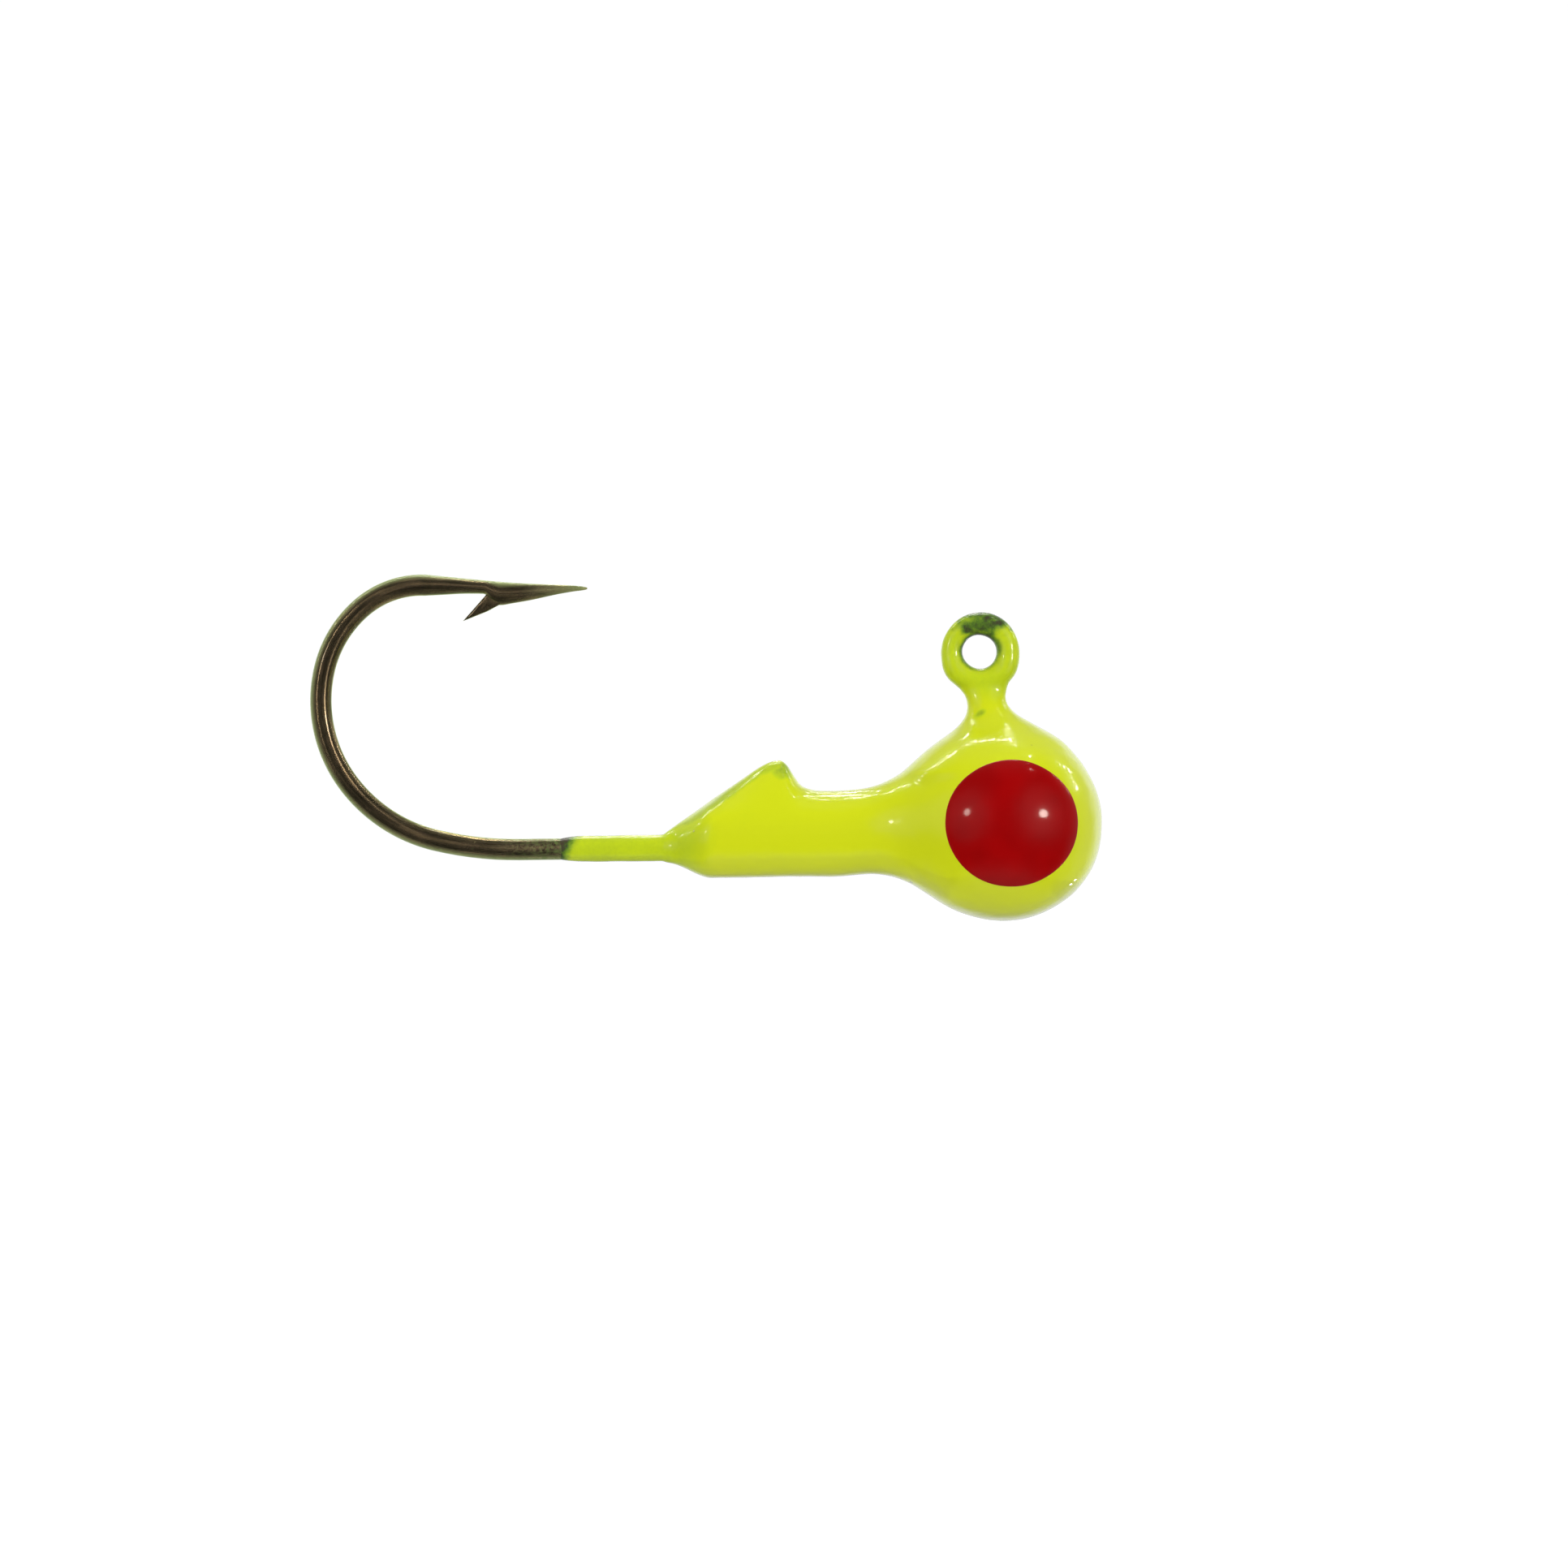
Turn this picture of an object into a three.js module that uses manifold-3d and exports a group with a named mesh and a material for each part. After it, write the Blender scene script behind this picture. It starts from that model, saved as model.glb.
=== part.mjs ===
// Ball-head fishing jig: a lead head cast on a bent wire hook, coated, with an enamel eye on each side.
// Millimetres. The origin is the centre of the line eye, +X points out of the nose, +Z is up and Y is across.
import * as THREE from "three";
import { mergeVertices } from "three/addons/utils/BufferGeometryUtils.js";
import Module from "manifold-3d";

const manifold = await Module();
manifold.setup();

// ---- driving dimensions ----

const fitGap = 0.01; // between the wire, the lead, the coat and the enamel
const headFilm = 0.095; // coat over the lead
const shankFilm = 0.08; // coat over the wire behind the head
const eyeFilm = 0.065; // coat over the wire of the line eye

const wireDiameter = 0.69;
const eyeWireDiameter = 0.59; // the wire is drawn thinner where it is turned into the line eye
const eyeBoreRadius = 0.55; // free hole, inside the coat
const eyeLoopGap = 0.05; // between the end of the loop and the neck
const eyeExitRadius = 0.57; // reverse bend from the loop into the neck
const neckOffset = 0.18; // neck, forward of the centre of the line eye
const neckLength = 1.065; // from the underside of the line eye to the ball
const neckBendRadius = 1.05; // right-angle bend inside the ball

const shankLength = 14; // from the neck bend to the round bend
const shankTilt = THREE.MathUtils.degToRad(0.7);
const roundBend = [
  { radius: 11.2, degrees: 14 },
  { radius: 4.95, degrees: 39.5 },
  { radius: 4.45, degrees: 50.5 },
  { radius: 3.75, degrees: 36 },
  { radius: 2.98, degrees: 42.3 },
];
const spearLength = 5.25;
// from the round bend to the tip; along is a length, the others are shares of the wire's radius
const spearRows = [
  { along: 0.25, outer: 1, inner: 1, width: 1 },
  { along: 0.65, outer: 0.87, inner: 0.85, width: 1 },
  { along: 1.84, outer: 0.62, inner: 0.6, width: 0.96 },
  { along: 2.4, outer: 0.52, inner: 1.7, width: 0.86 },
  { along: 3.5, outer: 0.41, inner: 1.09, width: 0.64 },
  { along: 4.75, outer: 0.35, inner: 0.16, width: 0.26 },
  { along: spearLength, outer: 0.17, inner: -0.06, width: 0.06 },
];
// the slice turned up from the inside of the wire: tip, notch, two corners inside the wire, belly, heel
const barbOutline = [
  { along: 1.35, inward: 3.13 },
  { along: 1.93, inward: 0.84 },
  { along: 2.1, inward: 0 },
  { along: 2.7, inward: 1.1 },
  { along: 2.46, inward: 1.69 },
  { along: 2.05, inward: 2.19 },
];
const barbThickness = 0.32;

const ballRadius = 3.08;
const ballOffset = 0.76; // centre of the ball, forward of the line eye
const flareLength = 1.63; // from the back of the ball to the plain collar
const flareStart = THREE.MathUtils.degToRad(14); // where the flare leaves the ball, behind its widest ring
const flareBallPull = 1.6; // how far the flare follows the ball before it turns in
const flareCollarPull = 1.7; // and how far it follows the collar
const spineLead = 0.9; // the head's middle line starts to rise this far behind the flare
const spineTrail = 1.94; // and is level with the centre of the ball this far behind it
const collarRadius = 1.28;
const collarDrop = 0.355; // axis of the collar below the centre of the ball
const collarLength = 1.47; // plain stretch in front of the bait keeper
const shankDrop = 0.34; // wire below the axis of the collar, at the neck bend
const keeperHeight = 2.31; // crest of the keeper above the axis of the collar
const keeperFront = 1.08; // steep front face
const keeperCrestLength = 0.3; // level top
const keeperRamp = THREE.MathUtils.degToRad(35.2); // slope behind the crest
const keeperCrestSoftness = 0.25;
const keeperSharpness = 4; // higher makes a thinner crest
const tailLength = 1.4; // taper from the collar down to the wire
const tailCover = 0.03; // lead round the wire at the very end

const coatOverlap = 3.2; // coat on the shank, behind the lead
const coatRoot = 0.4; // the coat on the shank starts this far inside the tail
const eyeSpotWidth = 4.29;
const eyeSpotHeight = 4.09;
const eyeSpotForward = 0.175; // centre of the spot from the centre of the ball
const eyeSpotDrop = 0;
const enamelThickness = 0.075;

// outline of the neck from the line eye (share 0) to the ball (share 1): how far it spreads past the
// coated wire, how far its middle moves forward and how much narrower it is across
const neckRows = [
  { share: -0.35, spread: 0.51, shift: -0.16, narrower: 0.6 },
  { share: -0.08, spread: 0.29, shift: -0.07, narrower: 0.34 },
  { share: 0.18, spread: 0.15, shift: 0.02, narrower: 0.1 },
  { share: 0.48, spread: 0.18, shift: 0.09, narrower: 0.04 },
  { share: 0.78, spread: 0.39, shift: 0.22, narrower: 0.06 },
  { share: 1, spread: 0.6, shift: 0.29, narrower: 0.08 },
  { share: 1.35, spread: 0.94, shift: 0.38, narrower: 0.1 },
  { share: 1.9, spread: 0.9, shift: 0.38, narrower: 0.1 },
];
const bossRow = 2; // the lead comes up the neck as far as this row

// facets of each surface
const wireSides = 16;
const skinSides = 30;
const neckSides = 24;
const spotSides = 40;
const loopSteps = 26;
const eyeExitSteps = 5;
const neckBendSteps = 7;
const shankSteps = 4;
const bendStepDegrees = 7;
const profileSteps = 12;
const tailSteps = 26;

// ---- sizes worked out from those above ----

const wireRadius = wireDiameter / 2;
const eyeWireRadius = eyeWireDiameter / 2;
const loopRadius = eyeBoreRadius + eyeFilm + eyeWireRadius;
const eyeOuterRadius = loopRadius + eyeWireRadius + eyeFilm;
const ballHeight = -(eyeOuterRadius + neckLength + headFilm + ballRadius);
const collarHeight = ballHeight - collarDrop;
const shankHeight = collarHeight - shankDrop;
const collarFront = ballOffset - ballRadius - flareLength;
const keeperFoot = collarFront - collarLength;
const keeperCrest = keeperFoot - keeperFront;
const shoulderHeight = wireRadius + tailCover;
const neckBendEnd = neckOffset - neckBendRadius;

// height of the wire's centre anywhere along the straight shank
function shankHeightAt(x) {
  return shankHeight + (x - neckBendEnd) * Math.tan(shankTilt);
}

// the ramp of the keeper runs down until it meets the top of the lead round the wire
const rampTop = keeperCrest - keeperCrestLength;
const rampFall = collarHeight + keeperHeight - shankHeightAt(rampTop) - shoulderHeight;
const tailEnd = rampTop - rampFall / (Math.tan(keeperRamp) - Math.tan(shankTilt));
const tailFront = tailEnd + tailLength;
const coatEnd = tailEnd - coatOverlap;

// ---- the wire's path ----

// adds a turn to the path: positive angles turn clockwise seen from -Y
function turn(path, radius, angle, steps) {
  const start = path.at(-1);
  const side = Math.sign(angle);
  const centreX = start.x + side * radius * Math.sin(start.heading);
  const centreZ = start.z - side * radius * Math.cos(start.heading);
  for (let step = 1; step <= steps; step += 1) {
    const heading = start.heading - (angle * step) / steps;
    const x = centreX - side * radius * Math.sin(heading);
    const z = centreZ + side * radius * Math.cos(heading);
    path.push({ x, z, heading });
  }
}

function straight(path, length, steps) {
  const start = path.at(-1);
  for (let step = 1; step <= steps; step += 1) {
    const reach = (length * step) / steps;
    const x = start.x + reach * Math.cos(start.heading);
    const z = start.z + reach * Math.sin(start.heading);
    path.push({ x, z, heading: start.heading });
  }
}

// the loop goes over the top of the line eye and leaves it where the reverse bend lands on the neck
const eyeExitAngle = Math.acos((neckOffset + eyeExitRadius) / (loopRadius + eyeExitRadius));
const neckLeftSide = neckOffset - eyeWireRadius - eyeLoopGap;
const loopStartAngle = -Math.PI / 2 + Math.min(0, neckLeftSide) / loopRadius;

function wirePath() {
  const path = [
    {
      x: loopRadius * Math.cos(loopStartAngle),
      z: loopRadius * Math.sin(loopStartAngle),
      heading: loopStartAngle - Math.PI / 2,
    },
  ];
  turn(path, loopRadius, 2 * Math.PI + loopStartAngle + eyeExitAngle, loopSteps);
  turn(path, eyeExitRadius, -eyeExitAngle, eyeExitSteps);
  path.eyeEnd = path.length - 1;
  straight(path, neckLength, 1);
  path.neckEnd = path.length - 1;
  const bendTurn = Math.PI / 2 - shankTilt;
  const bendTop = shankHeight + neckBendRadius;
  straight(path, path.at(-1).z - bendTop, 1);
  turn(path, neckBendRadius, bendTurn, neckBendSteps);
  straight(path, shankLength, shankSteps);
  for (const arc of roundBend) {
    const angle = THREE.MathUtils.degToRad(arc.degrees);
    turn(path, arc.radius, angle, Math.ceil(arc.degrees / bendStepDegrees));
  }
  path.bendEnd = path.length - 1;
  return path;
}

// ---- solids ----

function toSolid(geometry) {
  const bare = geometry.clone();
  bare.deleteAttribute("normal");
  bare.deleteAttribute("uv");
  const merged = mergeVertices(bare, 1e-5);
  const vertProperties = new Float32Array(merged.attributes.position.array);
  const triVerts = new Uint32Array(merged.index.array);
  return new manifold.Manifold(new manifold.Mesh({ numProp: 3, vertProperties, triVerts }));
}

function toGeometry(solid) {
  const mesh = solid.getMesh();
  const geometry = new THREE.BufferGeometry();
  geometry.setAttribute("position", new THREE.BufferAttribute(new Float32Array(mesh.vertProperties), 3));
  geometry.setIndex(new THREE.BufferAttribute(new Uint32Array(mesh.triVerts), 1));
  geometry.computeVertexNormals();
  return geometry;
}

// a closed tube through the stations, each with its own half height (in the plane) and half width
function sweep(stations, sides) {
  const steps = stations.length - 1;
  const geometry = new THREE.CylinderGeometry(1, 1, steps, sides, steps);
  const position = geometry.attributes.position;
  for (let index = 0; index < position.count; index += 1) {
    const station = stations[Math.round(steps / 2 - position.getY(index))];
    const upward = position.getX(index) * station.halfHeight;
    const across = -position.getZ(index) * station.halfWidth;
    const x = station.x - Math.sin(station.heading) * upward;
    const z = station.z + Math.cos(station.heading) * upward;
    position.setXYZ(index, x, across, z);
  }
  return geometry;
}

function wireRadiusAt(path, index) {
  const share = (index - path.eyeEnd) / (path.neckEnd - path.eyeEnd);
  return THREE.MathUtils.lerp(eyeWireRadius, wireRadius, THREE.MathUtils.clamp(share, 0, 1));
}

// the stretch of wire from one station of the path to another, with something added all round
function wireStations(path, first, last, grow) {
  const stations = [];
  for (let index = first; index <= last; index += 1) {
    const radius = wireRadiusAt(path, index) + grow;
    stations.push({ ...path[index], halfHeight: radius, halfWidth: radius });
  }
  return stations;
}

// a place beyond the round bend, given along the spear and to the inside of it
function spearPlace(path, along, inward) {
  const end = path[path.bendEnd];
  return {
    x: end.x + along * Math.cos(end.heading) + inward * Math.sin(end.heading),
    z: end.z + along * Math.sin(end.heading) - inward * Math.cos(end.heading),
    heading: end.heading,
  };
}

// the spear: the wire thins towards the slice, swells at the root of the barb and tapers to the tip
function spearStations(path) {
  return spearRows.map((row) => {
    const halfHeight = ((row.outer + row.inner) / 2) * wireRadius;
    const inward = ((row.inner - row.outer) / 2) * wireRadius;
    return { ...spearPlace(path, row.along, inward), halfHeight, halfWidth: row.width * wireRadius };
  });
}

// the barb: a thin pointed slice turned up from the inside of the wire
function barb(path) {
  const corners = barbOutline.map((corner) => spearPlace(path, corner.along, corner.inward * wireRadius));
  const shape = new THREE.Shape(corners.map((corner) => new THREE.Vector2(corner.x, corner.z)));
  const geometry = new THREE.ExtrudeGeometry(shape, { depth: barbThickness, bevelEnabled: false });
  geometry.rotateX(Math.PI / 2);
  geometry.translate(0, barbThickness / 2, 0);
  return geometry;
}

// ---- the head's skin, used for the lead and, grown, for the coat ----

function bodyProfile(grow) {
  const ball = ballRadius + grow;
  const collar = collarRadius + grow;
  const ballEdge = { radius: ball * Math.cos(flareStart), x: ballOffset - ball * Math.sin(flareStart) };
  const profile = new THREE.Path();
  profile.moveTo(0, ballOffset + ball);
  profile.absarc(0, ballOffset, ball, Math.PI / 2, -flareStart, true);
  profile.bezierCurveTo(
    ballEdge.radius - flareBallPull * Math.sin(flareStart),
    ballEdge.x - flareBallPull * Math.cos(flareStart),
    collar,
    collarFront + flareCollarPull,
    collar,
    collarFront,
  );
  const points = profile.getPoints(profileSteps);
  const tail = tailEnd - grow;
  for (let step = 0; step <= tailSteps; step += 1) {
    const x = THREE.MathUtils.lerp(keeperFoot, tail, step / tailSteps);
    const taper = THREE.MathUtils.smoothstep(-x, -tailFront, -tail);
    points.push(new THREE.Vector2(THREE.MathUtils.lerp(collar, shoulderHeight + grow, taper), x));
  }
  points.push(new THREE.Vector2(0, tail));
  return points;
}

// height of the middle of the head: the collar's axis, rising to the ball and sinking to the wire
function spineHeight(x) {
  const rise = THREE.MathUtils.smoothstep(x, collarFront - spineLead, ballOffset - spineTrail);
  const sink = THREE.MathUtils.smoothstep(-x, -tailFront, -tailEnd);
  const front = THREE.MathUtils.lerp(collarHeight, ballHeight, rise);
  return THREE.MathUtils.lerp(front, shankHeightAt(x), sink);
}

// smaller of two heights, with a rounded corner between them
function softMinimum(first, second, softness) {
  const gap = first - second;
  return (first + second - Math.sqrt(gap * gap + softness * softness)) / 2;
}

// top of the head above its middle, where the bait keeper stands on the collar
function keeperTop(x, radius, grow) {
  if (x >= keeperFoot) {
    return radius;
  }
  const steepness = Math.tan(keeperRamp);
  const ramp = keeperHeight + (x - rampTop) * steepness + grow / Math.cos(keeperRamp);
  const crest = keeperHeight + grow;
  const ridge = collarHeight + softMinimum(ramp, crest, keeperCrestSoftness) - spineHeight(x);
  const front = THREE.MathUtils.smoothstep(x, keeperCrest, keeperFoot);
  return Math.max(THREE.MathUtils.lerp(ridge, radius, front), Math.min(radius, shoulderHeight + grow));
}

function headSkin(grow) {
  const geometry = new THREE.LatheGeometry(bodyProfile(grow), skinSides);
  const position = geometry.attributes.position;
  for (let index = 0; index < position.count; index += 1) {
    const x = position.getY(index);
    const radius = Math.hypot(position.getX(index), position.getZ(index));
    const upward = radius > 0 ? position.getZ(index) / radius : 0;
    const lift = upward > 0 ? keeperTop(x, radius, grow) - radius : 0;
    const sharpness = lift > 0 ? keeperSharpness : 1;
    const raised = radius * upward + lift * Math.max(0, upward) ** sharpness;
    position.setXYZ(index, x, position.getX(index), spineHeight(x) + raised);
  }
  return toSolid(geometry);
}

// the neck between the line eye and the ball, from one of its rows down; the coat grows it past the lead
function neck(firstRow, grow) {
  const stations = neckRows.slice(firstRow).map((row) => {
    const halfHeight = wireRadius + row.spread + grow;
    const x = neckOffset + row.shift;
    const z = -(eyeOuterRadius + row.share * neckLength);
    return { x, z, heading: -Math.PI / 2, halfHeight, halfWidth: halfHeight - row.narrower };
  });
  stations[0].z += grow;
  return toSolid(sweep(stations, neckSides));
}

function hookSolid(path, grow) {
  const tube = wireStations(path, 0, path.bendEnd, grow);
  return toSolid(sweep(tube, wireSides));
}

function hook(path) {
  const stations = [...wireStations(path, 0, path.bendEnd, 0), ...spearStations(path)];
  const wire = toSolid(sweep(stations, wireSides));
  return wire.add(toSolid(barb(path)));
}

function headCasting(path) {
  return headSkin(0).add(neck(bossRow, 0)).subtract(hookSolid(path, fitGap));
}

function paintCoat(path) {
  const ring = new THREE.TorusGeometry(loopRadius, eyeWireRadius + eyeFilm, wireSides, skinSides);
  ring.rotateX(Math.PI / 2);
  const shankRadius = wireRadius + shankFilm;
  const shank = [tailEnd + coatRoot, coatEnd].map((x) => ({
    x,
    z: shankHeightAt(x),
    heading: Math.PI + shankTilt,
    halfHeight: shankRadius,
    halfWidth: shankRadius,
  }));
  const outer = headSkin(headFilm)
    .add(neck(0, headFilm))
    .add(toSolid(ring))
    .add(toSolid(sweep(shank, wireSides)));
  const inner = headSkin(fitGap).add(neck(bossRow, fitGap)).add(hookSolid(path, fitGap));
  return outer.subtract(inner);
}

// an enamel disc that follows the coat, on one side of the ball
function eyeSpot(side) {
  const reach = 2 * ballRadius;
  const disc = new THREE.CylinderGeometry(1, 1, reach, spotSides);
  disc.scale(eyeSpotWidth / 2, 1, eyeSpotHeight / 2);
  disc.translate(ballOffset + eyeSpotForward, (side * reach) / 2, ballHeight - eyeSpotDrop);
  const outer = headSkin(headFilm + fitGap + enamelThickness);
  const inner = headSkin(headFilm + fitGap);
  return outer.intersect(toSolid(disc)).subtract(inner);
}

// ---- the assembly ----

const materials = {
  bronze: { color: 0x4a3a28, roughness: 0.35, metalness: 0.85 },
  lead: { color: 0x7d8085, roughness: 0.6, metalness: 0.9 },
  chartreuse: { color: 0xcddb1e, roughness: 0.15, metalness: 0 },
  red: { color: 0x9a0408, roughness: 0.15, metalness: 0 },
};

function node(name, solid, finish) {
  const mesh = new THREE.Mesh(toGeometry(solid), new THREE.MeshStandardMaterial(materials[finish]));
  mesh.name = name;
  return mesh;
}

const path = wirePath();
const group = new THREE.Group();
group.add(node("hook", hook(path), "bronze"));
group.add(node("head_casting", headCasting(path), "lead"));
group.add(node("paint_coat", paintCoat(path), "chartreuse"));
group.add(node("eye_spot_right", eyeSpot(-1), "red"));
group.add(node("eye_spot_left", eyeSpot(1), "red"));

export default group;
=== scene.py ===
"""Ball-head fishing jig: a bronzed hook wire, a lead head in a dipped chartreuse coat, and enamel eyes."""

import math

import bmesh
import bpy
from bpy.props import FloatProperty, FloatVectorProperty, PointerProperty
from bpy.types import Operator, Panel, PropertyGroup
from mathutils import Matrix, Vector, noise
from mathutils.bvhtree import BVHTree
from mathutils.geometry import interpolate_bezier


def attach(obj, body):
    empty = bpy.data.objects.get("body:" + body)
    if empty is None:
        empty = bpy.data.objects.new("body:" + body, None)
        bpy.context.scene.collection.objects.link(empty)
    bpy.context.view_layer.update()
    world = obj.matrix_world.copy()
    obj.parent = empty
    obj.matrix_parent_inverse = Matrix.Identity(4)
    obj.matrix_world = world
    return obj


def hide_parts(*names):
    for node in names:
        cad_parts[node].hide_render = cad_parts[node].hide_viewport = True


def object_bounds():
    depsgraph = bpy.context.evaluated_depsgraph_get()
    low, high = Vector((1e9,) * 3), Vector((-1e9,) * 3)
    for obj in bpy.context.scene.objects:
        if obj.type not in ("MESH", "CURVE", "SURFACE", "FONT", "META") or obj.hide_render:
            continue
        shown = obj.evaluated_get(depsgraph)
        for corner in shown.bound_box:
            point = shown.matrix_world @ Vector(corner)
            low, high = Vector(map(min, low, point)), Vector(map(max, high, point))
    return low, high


bl_info = {
    "name": "Ball-Head Jig",
    "version": (1, 0, 0),
    "blender": (4, 5, 0),
    "location": "View3D > Sidebar > Jig",
    "description": "Builds a dipped ball-head fishing jig with its hook, enamel eyes and studio stage",
    "category": "Add Mesh",
}

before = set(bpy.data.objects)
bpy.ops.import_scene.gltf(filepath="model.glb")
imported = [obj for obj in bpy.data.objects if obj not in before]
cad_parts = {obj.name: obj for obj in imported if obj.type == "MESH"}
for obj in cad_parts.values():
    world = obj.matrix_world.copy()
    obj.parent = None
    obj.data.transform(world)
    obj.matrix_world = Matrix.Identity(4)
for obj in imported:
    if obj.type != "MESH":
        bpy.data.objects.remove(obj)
CAD_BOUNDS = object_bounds()

# Pieces are modelled in millimetres and brought to metres when they are finished.
MM = 0.001

# ---- the hook wire, in millimetres ----
LOOP_RADIUS = 0.91
LOOP_START = math.radians(-99.6)
LOOP_EXIT_RADIUS = 0.57
EYE_WIRE_RADIUS = 0.295
NECK_X = 0.18
NECK_LENGTH = 1.065
NECK_BEND_RADIUS = 1.05
SHANK_Z = -6.205
SHANK_TILT = math.radians(0.7)
# radius and turn of each arc of the round bend
ROUND_BEND = ((11.2, 14.0), (4.95, 39.5), (4.45, 50.5), (3.75, 36.0), (2.98, 42.3))
# along the spear, then the outer, inner and sideways reach in wire radii
SPEAR = (
    (0.0, 1.0, 1.0, 1.0),
    (0.65, 0.87, 0.85, 1.0),
    (1.3, 0.73, 0.7, 0.99),
    (1.9, 0.61, 0.66, 0.95),
    (2.15, 0.57, 1.25, 0.92),
    (2.45, 0.52, 1.68, 0.86),
    (2.9, 0.46, 1.45, 0.79),
    (3.5, 0.41, 1.09, 0.64),
    (4.2, 0.38, 0.58, 0.43),
    (4.75, 0.36, 0.24, 0.3),
    (5.1, 0.29, 0.08, 0.17),
    (5.25, 0.2, -0.04, 0.07),
)
# along the spear and inwards in wire radii: tip, throat, two roots inside the wire, belly, heel
BARB = ((1.27, 3.27), (1.97, 0.84), (2.14, 0.0), (2.9, 0.6), (2.46, 1.6), (2.04, 2.3))
BARB_THICKNESS = 0.34
BARB_EDGE = 0.07
# where the barb's streaks are taken from on the straightened wire
BARB_ALONG = 40

# ---- the coated head, in millimetres ----
BALL_RADIUS = 3.175
BALL_X = 0.76
BALL_Z = -5.51
FLARE_START = math.radians(14)
# how long the flare's curve keeps the direction of the ball, and of the collar
BALL_PULL = 1.6
COLLAR_PULL = 1.7
COLLAR_RADIUS = 1.385
COLLAR_Z = -5.865
COLLAR_FRONT = -3.95
COLLAR_ROWS = 90
KEEPER_FOOT = -5.15
KEEPER_CREST = -6.46
KEEPER_TOP = -6.8
KEEPER_HEIGHT = 2.43
RAMP_HEIGHT = 2.42
KEEPER_RAMP = math.radians(35.2)
# how softly the ramp runs into the crest, in square millimetres
CREST_SOFTNESS = 0.035
TAIL_FRONT = -8.65
TAIL_END = -10.15
COAT_END = -13.386
SHOULDER_RADIUS = 0.47
RING_COAT = 0.085
# the neck from the line eye down into the ball: height, rear edge, front edge and half width across
NECK = (
    (-0.9, -0.93, 0.97, 0.36),
    (-1.19, -0.66, 0.88, 0.42),
    (-1.43, -0.49, 0.83, 0.5),
    (-1.6, -0.44, 0.86, 0.56),
    (-1.75, -0.41, 0.94, 0.62),
    (-1.9, -0.43, 1.07, 0.7),
    (-2.06, -0.47, 1.28, 0.8),
    (-2.21, -0.58, 1.55, 0.94),
    (-2.37, -0.71, 1.86, 1.11),
    (-2.53, -0.9, 2.12, 1.31),
    (-2.69, -1.09, 2.41, 1.54),
    (-2.84, -1.33, 2.62, 1.75),
    (-3.0, -1.54, 2.8, 1.94),
    (-3.2, -1.8, 2.98, 2.12),
    (-3.4, -2.0, 3.15, 2.29),
    (-3.63, -2.26, 3.34, 2.44),
    (-3.9, -2.54, 3.42, 2.56),
    (-4.3, -2.6, 3.45, 2.6),
)
# heights between which the neck is smoothed, and how many times
NECK_SMOOTHING = ((-4.4, -1.3, 12), (-3.3, -1.3, 14), (-3.0, -1.3, 10), (-1.6, -0.95, 10))


def smoothstep(value, low, high):
    share = min(max((value - low) / (high - low), 0.0), 1.0)
    return share * share * (3 - 2 * share)


def lerp(first, second, share):
    return first + (second - first) * share


# ---- shared mesh work ----


def section(x, z, heading, half_height, half_width):
    """Place and size of a section across the wire: its columns are up, across and along."""
    matrix = Matrix.Identity(4)
    matrix.col[0].xyz = Vector((-math.sin(heading), 0, math.cos(heading))) * half_height
    matrix.col[1].xyz = Vector((0, -half_width, 0))
    matrix.col[2].xyz = Vector((math.cos(heading), 0, math.sin(heading)))
    matrix.translation = Vector((x, 0, z))
    return matrix


def grow_ring(bm, edges):
    """Extrudes a ring of edges and gives back the vertices and edges of the new ring."""
    grown = bmesh.ops.extrude_edge_only(bm, edges=edges)["geom"]
    ring = [part for part in grown if isinstance(part, bmesh.types.BMVert)]
    members = set(ring)
    edges = [
        part
        for part in grown
        if isinstance(part, bmesh.types.BMEdge) and part.verts[0] in members and part.verts[1] in members
    ]
    return ring, edges


def loft(bm, sections, sides, layers=None):
    """A closed tube through the sections. Its layers keep each point's place on the straightened tube."""
    before = sections[0]
    ring = bmesh.ops.create_circle(bm, cap_ends=True, radius=1, segments=sides, matrix=before)["verts"]
    made = list(ring)
    members = set(ring)
    edges = [edge for edge in bm.edges if edge.verts[0] in members and edge.verts[1] in members]
    along = 0.0
    note_unrolled(ring, before, along, layers)
    for after in sections[1:]:
        ring, edges = grow_ring(bm, edges)
        bmesh.ops.transform(bm, matrix=after @ before.inverted(), verts=ring)
        along += (after.translation - before.translation).length
        note_unrolled(ring, after, along, layers)
        made += ring
        before = after
    bmesh.ops.edgeloop_fill(bm, edges=edges)
    faces = list({face for vert in made for face in vert.link_faces})
    bmesh.ops.recalc_face_normals(bm, faces=faces)


def wire_layers(bm):
    """The place on the straightened wire, and the direction in which the wire runs."""
    return bm.verts.layers.float_vector.new("unrolled"), bm.verts.layers.float_vector.new("runs")


def note_unrolled(ring, place, along, layers):
    if layers is None:
        return
    unrolled, runs = layers
    half_height = place.col[0].xyz.length
    half_width = place.col[1].xyz.length
    back = place.inverted()
    for vert in ring:
        local = back @ vert.co
        vert[unrolled] = Vector((along, local.x * half_height, local.y * half_width))
        vert[runs] = place.col[2].xyz.normalized()


def finished_mesh(source, name, modifiers=()):
    """Applies the modifiers to a mesh and gives back the result as a mesh of its own."""
    work = bpy.data.objects.new(name + "_work", source)
    bpy.context.scene.collection.objects.link(work)
    for kind, values in modifiers:
        modifier = work.modifiers.new(kind.lower(), kind)
        for key, value in values.items():
            setattr(modifier, key, value)
    bpy.context.view_layer.update()
    evaluated = work.evaluated_get(bpy.context.evaluated_depsgraph_get())
    mesh = bpy.data.meshes.new_from_object(evaluated)
    mesh.name = name
    bpy.data.objects.remove(work)
    bpy.data.meshes.remove(source)
    return mesh


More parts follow.
